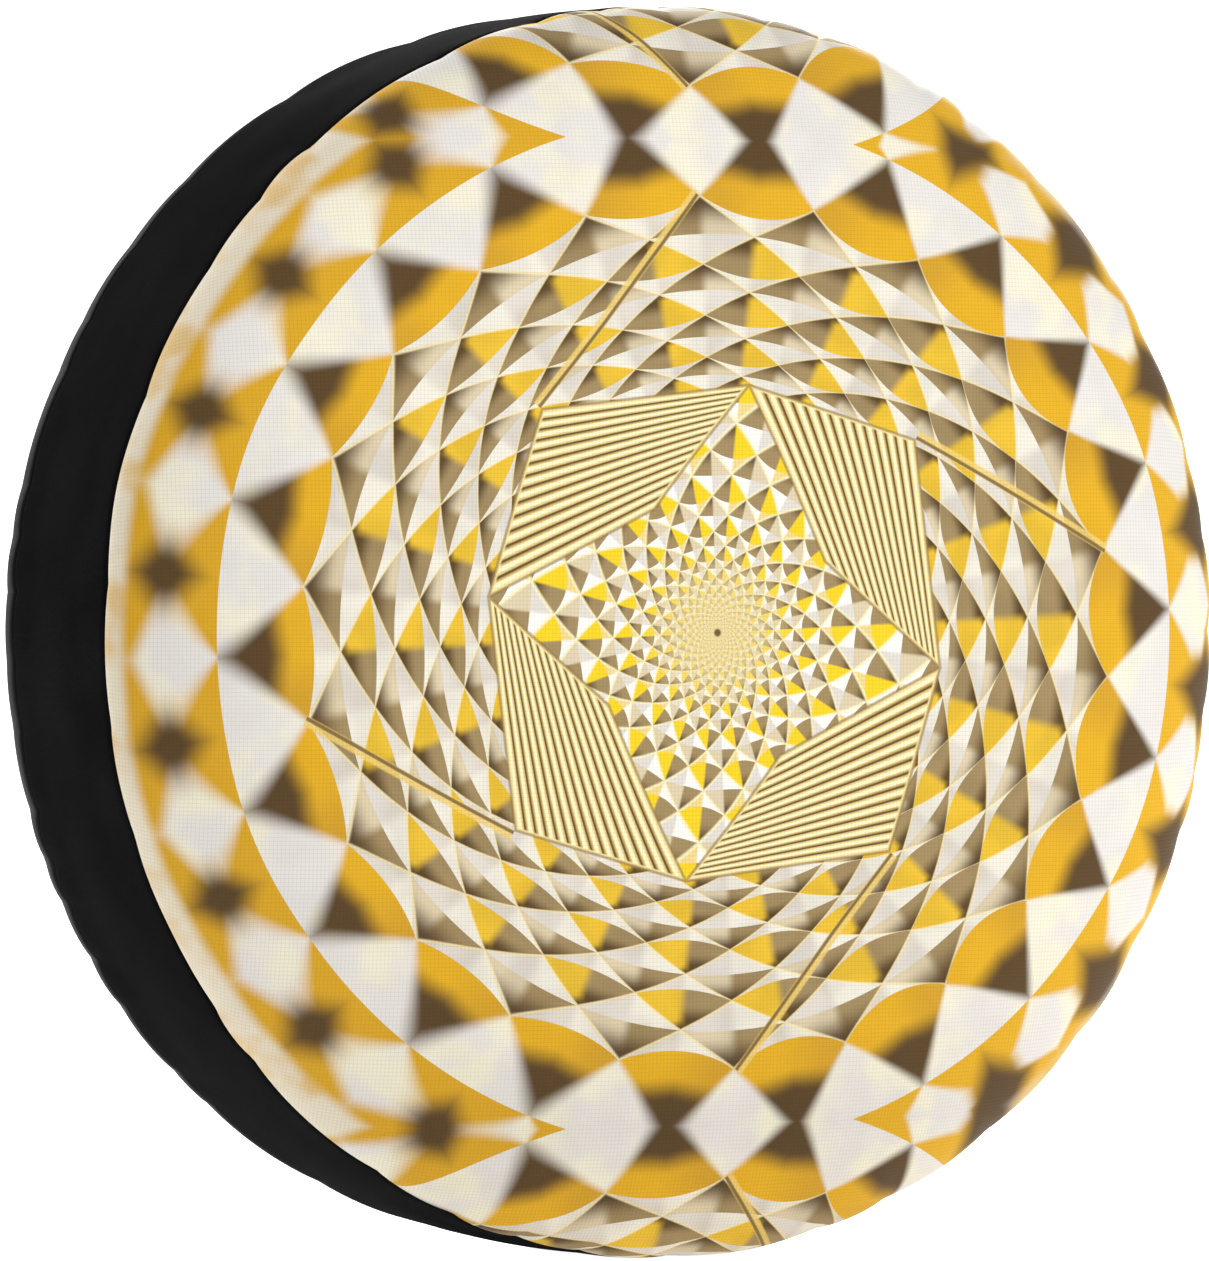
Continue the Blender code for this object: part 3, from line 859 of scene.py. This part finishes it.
def face_profile():
    """From the seam to the middle, in (radius, y)."""
    depth = front_seam_y - face_y - SEAM_LAND
    flat = seam_radius - FACE_SHOULDER
    shoulder = arc((flat, front_seam_y - SEAM_LAND), (seam_radius - flat, depth), 0, -90, 48)
    line = [(seam_radius, front_seam_y - SEAM_GAP)] + shoulder + [(POLE_RADIUS, face_y)]
    return even_line(line, FACE_STEP)


def band_profile():
    """From the rear seam to the front seam, with a slight crown."""
    middle = (front_seam_y + rear_seam_y) / 2
    half = (rear_seam_y - front_seam_y) / 2
    depths = np.linspace(rear_seam_y - SEAM_GAP, front_seam_y + SEAM_GAP, BAND_ROWS)
    crown = radius - seam_radius
    return np.column_stack([radius - crown * ((depths - middle) / half) ** 2, depths])


def rear_profile():
    """From the hem out and round to the rear seam."""
    shoulder_radius = rear_y - rear_seam_y - SEAM_LAND
    flat = seam_radius - shoulder_radius
    shoulder = arc((flat, rear_seam_y + SEAM_LAND), (shoulder_radius, shoulder_radius), 90, 0, 24)
    line = [(hem_radius - HEM_LAP, rear_y)] + shoulder + [(seam_radius, rear_seam_y + SEAM_GAP)]
    return even_line(line, REAR_STEP)


def back_folds(turns, at_radius):
    """How far the gathered back stands out: folds that start at the hem and lie flat under the straps."""
    from_hem = at_radius - hem_radius + HEM_LAP
    fade = 1 - ease(0.0, 1.0, from_hem / gathers.reach(turns))
    rise = 0.25 + 0.75 * ease(0.0, GATHER_RISE, from_hem)
    return gathers.at(turns) * rise * fade * strap_clear(turns, at_radius)


def strap_clear(turns, at_radius):
    """0 where a strap lies on the back of the cover and 1 away from it."""
    height = np.abs(np.sin(math.tau * turns)) * at_radius
    return ease(*STRAP_CLEAR, np.abs(height - strap_height))


def make_face(finish, lining):
    """The printed face with its shoulder, lined with plain backing."""
    line = face_profile()
    lengths = line_lengths(line)

    def shift(turns, n):
        reach = lengths[n]
        near = 1 - ease(0.0, FACE_TUCK_REACH, reach)
        out = front_tucks.at(turns) * near**1.6 + seam_dip(reach, 0.0)
        return out, front_sway.at(turns) * near**2

    rows = turned(line, shift)
    obj = ring_grid("printed_face", rows, flat_disc_cut(line), pole=(0, face_y, 0))
    wall(dress(obj, finish), CLOTH, lining)
    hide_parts("front_panel")
    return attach(obj, "root")


def make_band(finish):
    """The band round the outside, drawn in at both seams."""
    line = band_profile()
    lengths = line_lengths(line)

    def shift(turns, n):
        reach = lengths[n]
        rear = 1 - ease(0.0, BAND_TUCK_REACH, reach)
        front = 1 - ease(0.0, BAND_TUCK_REACH, lengths[-1] - reach)
        out = rear_tucks.at(turns) * rear + front_tucks.at(turns) * front
        out = out + seam_dip(reach, 0.0) + seam_dip(reach, lengths[-1])
        back = rear_sway.at(turns) * rear + front_sway.at(turns) * front
        return out, back

    obj = ring_grid("black_band", turned(line, shift), strip_cut(line, math.tau * radius))
    wall(dress(obj, finish), CLOTH)
    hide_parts("tread_band")
    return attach(obj, "root")


def make_rear(finish):
    """The back, gathered into the hem."""
    line = rear_profile()
    lengths = line_lengths(line)

    def shift(turns, n):
        reach = lengths[n]
        seam = 1 - ease(0.0, BAND_TUCK_REACH, lengths[-1] - reach)
        out = rear_tucks.at(turns) * seam + seam_dip(reach, lengths[-1])
        out = out + back_folds(turns, line[n, 0])
        return out, rear_sway.at(turns) * seam

    obj = ring_grid("gathered_back", turned(line, shift), strip_cut(line, math.tau * seam_radius))
    wall(dress(obj, finish), CLOTH)
    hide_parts("rear_panel")
    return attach(obj, "root")


def make_tape(name, node, line, tucks, sway, finish):
    """A tape inside a seam, which follows the cloth's tucks."""
    line = even_line(line, TAPE_STEP)

    def shift(turns, n):
        depth = -CLOTH - BINDING_GAP - SEAM_DIP * 0.6
        return tucks.at(turns) + depth + 0 * n, sway.at(turns) + 0 * n

    obj = ring_grid(name, turned(line, shift), strip_cut(line, math.tau * seam_radius))
    obj.data.uv_layers["cut"].name = "run"
    wall(dress(obj, finish), BINDING_THICKNESS)
    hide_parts(node)
    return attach(obj, "root")


def clip_line(line, seam_y):
    """The part of a line that a tape over its seam covers."""
    line = even_line(line, 0.001)
    low_y, high_y = seam_y - BINDING_WIDTH / 2, seam_y + BINDING_WIDTH / 2
    return line[(line[:, 1] >= low_y) & (line[:, 1] <= high_y)]


def make_hem(finish):
    """The gathered casing round the mouth: a flattened tube with the elastic inside it."""
    low, high = hem_low.y, hem_high.y - CLOTH - SEAM_GAP
    left, right = hem_radius - HEM_WIDTH + HEM_CORNER, hem_radius - HEM_CORNER
    bottom, top = low + HEM_CORNER, high - HEM_CORNER
    outline = []
    for n, centre in enumerate(((right, top), (left, top), (left, bottom), (right, bottom))):
        outline += arc(centre, (HEM_CORNER, HEM_CORNER), 90 * n, 90 * n + 90, 6)
    outline.append(outline[0])
    line = even_line(outline[::-1], FINE_STEP)
    middle = (low + high) / 2

    def shift(turns, n):
        share = (line[n, 1] - middle) / (high - low) * 2
        folds = (gathers.at(turns) / GATHER_DEPTH[1] - 0.5) * strap_clear(turns, hem_radius)
        inner_side = ease(*HEM_INNER_SIDE, hem_radius - line[n, 0])
        swell = HEM_SWELL * folds * (1 - 0.3 * np.abs(share)) * inner_side
        swell = np.maximum(swell, -HEM_DRAWN_IN)
        return swell, 0 * swell

    obj = ring_grid("hem_casing", turned(line, shift), strip_cut(line, math.tau * seam_radius))
    with reshaped(obj.data) as bm:
        bmesh.ops.remove_doubles(bm, verts=bm.verts, dist=1e-6)
    dress(obj, finish)
    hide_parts("hem_channel")
    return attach(obj, "root")


# ---------------------------------------------------------------- straps


def webbing(name, path, middle_z):
    """Webbing along a path in (x, y): a flat strip with round edges and closed ends."""
    path = even_line(path, FINE_STEP)
    normals = line_normals(path)
    half = WEBBING_THICKNESS / 2
    flat = webbing_width / 2 - half
    edge = np.linspace(-math.pi / 2, math.pi / 2, 7)
    across = np.linspace(flat, -flat, 9)[1:-1]
    section = [(flat + half * math.cos(t), half * math.sin(t)) for t in edge]
    section += [(z, half) for z in across]
    section += [(-flat - half * math.cos(t), half * math.sin(t)) for t in edge[::-1]]
    section += [(-z, -half) for z in across]
    section = np.array(section)
    lengths = line_lengths(path)
    count, steps = len(path), len(section)
    points = np.empty((count, steps, 3))
    points[:, :, 0] = path[:, :1] + normals[:, :1] * section[:, 1]
    points[:, :, 1] = path[:, 1:] + normals[:, 1:] * section[:, 1]
    points[:, :, 2] = middle_z + section[:, 0]
    faces, uvs = [], []
    for i in range(count - 1):
        for j in range(steps):
            k = (j + 1) % steps
            ring = ((i, j), (i, k), (i + 1, k), (i + 1, j))
            faces.append([row * steps + place for row, place in ring])
            uvs += [(lengths[row], section[place, 0]) for row, place in ring]
    for row, order in ((0, range(steps - 1, -1, -1)), (count - 1, range(steps))):
        faces.append([row * steps + j for j in order])
        uvs += [(lengths[row], section[j, 0]) for j in order]
    mesh = smooth_mesh(name, points.reshape(-1, 3), faces, "run", uvs)
    with reshaped(mesh) as bm:
        bmesh.ops.recalc_face_normals(bm, faces=bm.faces)
    mesh.set_sharp_from_angle(angle=math.radians(50))
    return dress(placed(name, mesh), webbing_finish)


def fold_path(bar_x, far_bar_x, towards, low_y, buckle_y):
    """Webbing folded round a buckle's bar: in on the low side, out on the high side. towards is -1 where
    it comes from -X and 1 where it comes from +X."""
    bend = BAR_THICKNESS / 2 + FOLD_GAP + WEBBING_THICKNESS / 2
    edge = bar_x - towards * BAR_WIDTH / 2
    turn = arc((edge, buckle_y), (bend * -towards, bend), -90, 90, 16)
    leave = far_bar_x + towards * BAR_WIDTH / 2
    start = leave + towards * FOLD_TAPER
    high_y = low_y + WEBBING_THICKNESS + FOLD_GAP
    low_side = ease_line((start, low_y), (leave, buckle_y - bend))
    high_side = ease_line((leave, buckle_y + bend), (start, high_y))
    return low_side + turn + high_side


def ease_line(start, end, steps=8):
    """An S-shaped line between two levels."""
    shares = [i / steps for i in range(steps + 1)]
    rise = end[1] - start[1]
    return [(start[0] + (end[0] - start[0]) * s, start[1] + rise * float(ease(0, 1, s))) for s in shares]


def refined(node, finish):
    """A CAD piece's shape with its loose triangles joined and its edges eased."""
    source = frame["nodes"][node]
    mesh = source.data.copy()
    obj = placed(node + "_moulding", mesh)
    with reshaped(mesh) as bm:
        bmesh.ops.remove_doubles(bm, verts=bm.verts, dist=2e-6)
        bmesh.ops.dissolve_limit(bm, angle_limit=math.radians(2), verts=bm.verts, edges=bm.edges)
    mesh.materials.clear()
    mesh.materials.append(finish)
    mesh.shade_smooth()
    bevel = obj.modifiers.new("edge", "BEVEL")
    bevel.width = MOULDING_EDGE
    bevel.segments = 3
    bevel.limit_method = "ANGLE"
    bevel.angle_limit = math.radians(40)
    bevel.harden_normals = True
    as_plain_mesh(obj)
    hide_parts(node)
    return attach(obj, source["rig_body"])


# ---------------------------------------------------------------- stitches


def stitch_tree():
    """Geometry nodes: one stitch at every step of a path, lying along it."""
    tree = bpy.data.node_groups.new("stitches", "GeometryNodeTree")
    face = tree.interface
    face.new_socket("Path", in_out="INPUT", socket_type="NodeSocketGeometry")
    for name in ("Pitch", "Length", "Thickness"):
        face.new_socket(name, in_out="INPUT", socket_type="NodeSocketFloat")
    face.new_socket("Thread", in_out="INPUT", socket_type="NodeSocketMaterial")
    face.new_socket("Stitches", in_out="OUTPUT", socket_type="NodeSocketGeometry")

    def node(kind, inputs=None, **settings):
        return add_node(tree, kind, settings, inputs)

    given = node("NodeGroupInput").outputs
    path = node("GeometryNodeMeshToCurve", {"Mesh": given["Path"]}).outputs[0]
    spaced = node("GeometryNodeResampleCurve", {"Curve": path, "Length": given["Pitch"]}, mode="LENGTH")
    half = node("ShaderNodeMath", {0: given["Length"], 1: 0.5}, operation="MULTIPLY").outputs[0]
    ball = node("GeometryNodeMeshUVSphere", {"Segments": 6, "Rings": 5, "Radius": 1.0}).outputs[0]
    thick = given["Thickness"]
    size = node("ShaderNodeCombineXYZ", {0: thick, 1: thick, 2: half}).outputs[0]
    along = node("GeometryNodeInputTangent").outputs[0]
    lie = node("FunctionNodeAlignRotationToVector", {"Vector": along}, axis="Z").outputs[0]
    laid = {"Points": spaced.outputs[0], "Instance": ball, "Rotation": lie, "Scale": size}
    each = node("GeometryNodeInstanceOnPoints", laid).outputs[0]
    real = node("GeometryNodeRealizeInstances", {"Geometry": each}).outputs[0]
    smooth = node("GeometryNodeSetShadeSmooth", {"Geometry": real}).outputs[0]
    done = {"Geometry": smooth, "Material": given["Thread"]}
    node("NodeGroupOutput", {0: node("GeometryNodeSetMaterial", done).outputs[0]})
    return tree


def sew(name, paths, finish, body="root", pitch=STITCH_PITCH, length=STITCH_LENGTH):
    """Rows of stitches along paths, as one plain mesh. A path that ends where it starts closes."""
    points, edges = [], []
    for path in paths:
        first = len(points)
        closed = np.allclose(path[0], path[-1])
        kept = path[:-1] if closed else path
        points += [tuple(map(float, p)) for p in kept]
        edges += [(first + n, first + n + 1) for n in range(len(kept) - 1)]
        if closed:
            edges.append((len(points) - 1, first))
    mesh = bpy.data.meshes.new(name)
    mesh.from_pydata(points, edges, [])
    obj = placed(name, mesh)
    modifier = obj.modifiers.new("stitches", "NODES")
    modifier.node_group = stitches
    values = {"Pitch": pitch, "Length": length, "Thickness": STITCH_THICKNESS, "Thread": finish}
    for item in stitches.interface.items_tree:
        if item.in_out == "INPUT" and item.name in values:
            modifier[item.identifier] = values[item.name]
    as_plain_mesh(obj)
    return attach(obj, body)


def ring_path(at_radius):
    """A ring on the gathered back, lying on its folds."""
    turns = np.linspace(0, 1, 2 * ROUND_STEPS + 1)
    angle = math.tau * turns
    depth = rear_y + THREAD_LIFT + back_folds(turns, at_radius)
    return np.column_stack([at_radius * np.cos(angle), depth, at_radius * np.sin(angle)])


def box_and_cross(left, right, low, high, y):
    """The sewing of a strap's end: a box with its diagonals."""
    corners = [(left, y, low), (right, y, low), (right, y, high), (left, y, high)]
    return [corners + [corners[0]], [corners[0], corners[2]], [corners[1], corners[3]]]


def make_strap(prefix, middle):
    """One strap with its buckle: the sewn half, the pull half and its end, stitches and mouldings."""
    fixed_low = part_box(f"{prefix}_strap_fixed")[0]
    loose_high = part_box(f"{prefix}_strap_adjustable")[1]
    socket_low, socket_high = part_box(f"{prefix}_buckle_socket")
    plug_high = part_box(f"{prefix}_buckle_plug")[1]
    buckle_y = (socket_low.y + socket_high.y) / 2
    low_y = rear_y + FOLD_GAP + WEBBING_THICKNESS / 2
    high_y = low_y + WEBBING_THICKNESS + FOLD_GAP
    sewn = math.sqrt(hem_radius**2 - (strap_height - webbing_width / 2) ** 2)

    socket_bar = socket_low.x + BAR_WIDTH / 2
    fold_end = socket_bar - BAR_WIDTH / 2 - FOLD_TAPER
    fold = fold_path(socket_bar, socket_bar, -1, low_y, buckle_y)
    path = [(fixed_low.x, low_y)] + fold + [(fold_end - SEWN_TAIL, high_y)]
    fixed = webbing(f"{prefix}_sewn_strap", path, middle)
    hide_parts(f"{prefix}_strap_fixed")

    outer_bar = plug_high.x - BAR_WIDTH / 2
    inner_bar = outer_bar - SLOT_LENGTH - BAR_WIDTH
    fold = fold_path(inner_bar, outer_bar, 1, low_y, buckle_y)
    path = [(sewn, low_y)] + fold + [(outer_bar + PULL_TAIL, high_y)]
    loose = webbing(f"{prefix}_pull_strap", path, middle)
    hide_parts(f"{prefix}_strap_adjustable")
    path = [(sewn + SEAM_GAP, low_y), (loose_high.x, low_y)]
    end = webbing(f"{prefix}_pull_strap_end", path, middle)
    for piece in (fixed, loose, end):
        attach(piece, "root")
    reach = sewn - (inner_bar - BAR_WIDTH / 2)
    (reach - PLUG_TRAVEL) / reach
    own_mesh(loose)

    lift = WEBBING_THICKNESS / 2 + THREAD_LIFT
    half = webbing_width / 2 - SEWING_INSET
    left_end, right_end = fixed_low.x + SEWING_INSET, loose_high.x - SEWING_INSET
    tack = fold_end - TACK_INSET
    sewing = []
    for left, right, y in (
        (sewn + SEWING_FROM_EDGE, right_end, low_y),
        (left_end, -sewn - SEWING_FROM_EDGE, low_y),
        (tack, tack + TACK_LENGTH, high_y),
    ):
        sewing += box_and_cross(left, right, middle - half, middle + half, y + lift)
    sew(f"{prefix}_strap_stitching", sewing, dark_thread, pitch=STRAP_STITCH_PITCH,
        length=STRAP_STITCH_LENGTH)

    for piece in BUCKLE_PIECES:
        refined(f"{prefix}_{piece}", plastic)


# ---------------------------------------------------------------- build

printed = printed_cloth()
lining = woven_cloth("unprinted_backing", srgb(222, 219, 212), FINE_YARN, 1.05, 0.9)
black = woven_cloth("black_polyester", BLACK_CLOTH, FINE_YARN, 1.7, IOR=1.06)
back_black = woven_cloth("black_back_cloth", BLACK_CLOTH, FINE_YARN, 1.5, 0.55, IOR=1.17)
tape_finish = ribbed_tape("grosgrain", BLACK_TAPE, rib=0.0011)
webbing_finish = ribbed_tape("black_webbing", BLACK_TAPE, rib=0.0016)
plastic = moulded_plastic()
dark_thread = thread("black_thread", srgb(44, 44, 47))
stitches = stitch_tree()

front_line = np.vstack([band_profile(), face_profile()])
rear_line = np.vstack([rear_profile(), band_profile()])
for name, node, line, seam, tucks, sway in (
    ("front_tape", "front_seam_binding", front_line, front_seam_y, front_tucks, front_sway),
    ("rear_tape", "rear_seam_binding", rear_line, rear_seam_y, rear_tucks, rear_sway),
):
    make_tape(name, node, clip_line(line, seam), tucks, sway, tape_finish)

make_hem(back_black)
make_face(printed, lining)
make_band(black)
make_rear(back_black)

elastic = frame["nodes"]["hem_elastic"]
elastic.data.materials.clear()
elastic.data.materials.append(braided_elastic())

sew("hem_stitching", [ring_path(hem_radius + row) for row in HEM_ROWS], dark_thread)

for prefix, side in (("upper", 1), ("lower", -1)):
    make_strap(prefix, side * strap_height)

# ---------------------------------------------------------------- stage


def paint(name, rgb, glow):
    """Matt paint that glows a little on the cover and looks plain white itself."""
    f = Finish(name, 0.9, Base_Color=rgb, Emission_Strength=1.0)
    seen = f.node("ShaderNodeLightPath")
    f.feed("Emission Color", f.mix((glow, glow, glow, 1), (1, 1, 1, 1), seen))
    return f.material


def make_stage():
    """A pale floor that curves up into a backdrop a long way behind."""
    floor_z = -radius - FLOOR_GAP
    curve_middle = (BACKDROP_START, floor_z + BACKDROP_CURVE)
    curve = arc(curve_middle, (BACKDROP_CURVE, BACKDROP_CURVE), -90, 0, 16)
    profile = [(FLOOR_FRONT, floor_z)] + curve + [(BACKDROP_START + BACKDROP_CURVE, BACKDROP_TOP)]
    points, faces = [], []
    for n, (y, z) in enumerate(profile):
        points += [(-FLOOR_HALF_WIDTH, y, z), (FLOOR_HALF_WIDTH, y, z)]
        if n:
            faces.append((2 * n - 2, 2 * n - 1, 2 * n + 1, 2 * n))
    mesh = bpy.data.meshes.new("studio_floor")
    mesh.from_pydata(points, [], faces)
    mesh.shade_smooth()
    dress(placed("studio_floor", mesh), paint("pale_floor", srgb(250, 250, 249), FLOOR_GLOW))


def point(obj, place, aim):
    """Puts a light or a camera in its place, looking at aim."""
    obj.location = place
    obj.rotation_euler = (aim - place).to_track_quat("-Z", "Y").to_euler()


def soft_light(name, place, aim, size, power):
    """A round lamp that lights the cover softly."""
    data = bpy.data.lights.new(name, "AREA")
    data.shape = "DISK"
    data.size = size
    data.energy = power
    point(placed(name, data), Vector(place), Vector(aim))


def make_camera():
    """The camera on a circle about the cover's middle, with the cover a little off the centre of its view."""
    azimuth, elevation = math.radians(CAMERA_AZIMUTH), math.radians(CAMERA_ELEVATION)
    level = math.cos(elevation)
    back = Vector((math.sin(azimuth) * level, -math.cos(azimuth) * level, math.sin(elevation)))
    target = Vector((0, (face_y + rear_y) / 2 + CAMERA_TARGET_BACK, 0))
    right = Vector((0, 0, 1)).cross(back).normalized()
    up = back.cross(right)
    place = target + back * CAMERA_DISTANCE
    aim = target + right * CAMERA_AIM[0] + up * CAMERA_AIM[1]
    data = bpy.data.cameras.new("camera")
    data.lens = CAMERA_LENS
    data.clip_end = 100  # past the backdrop
    camera = placed("camera", data)
    point(camera, place, aim)
    bpy.context.scene.camera = camera


def make_surroundings(strength):
    """White light from all round, which looks plain white itself."""
    world = bpy.data.worlds.new("studio")
    bpy.context.scene.world = world
    world.use_nodes = True
    tree = world.node_tree
    background = tree.nodes["Background"]
    background.inputs["Color"].default_value = (1, 1, 1, 1)
    seen = add_node(tree, "ShaderNodeLightPath").outputs["Is Camera Ray"]
    level = add_node(tree, "ShaderNodeMath", {"operation": "MAXIMUM"}, {0: seen, 1: strength})
    tree.links.new(level.outputs[0], background.inputs["Strength"])


make_stage()
make_camera()
for light in LIGHTS:
    soft_light(*light)
make_surroundings(ROOM_LIGHT)
bpy.context.scene.view_settings.view_transform = "Standard"
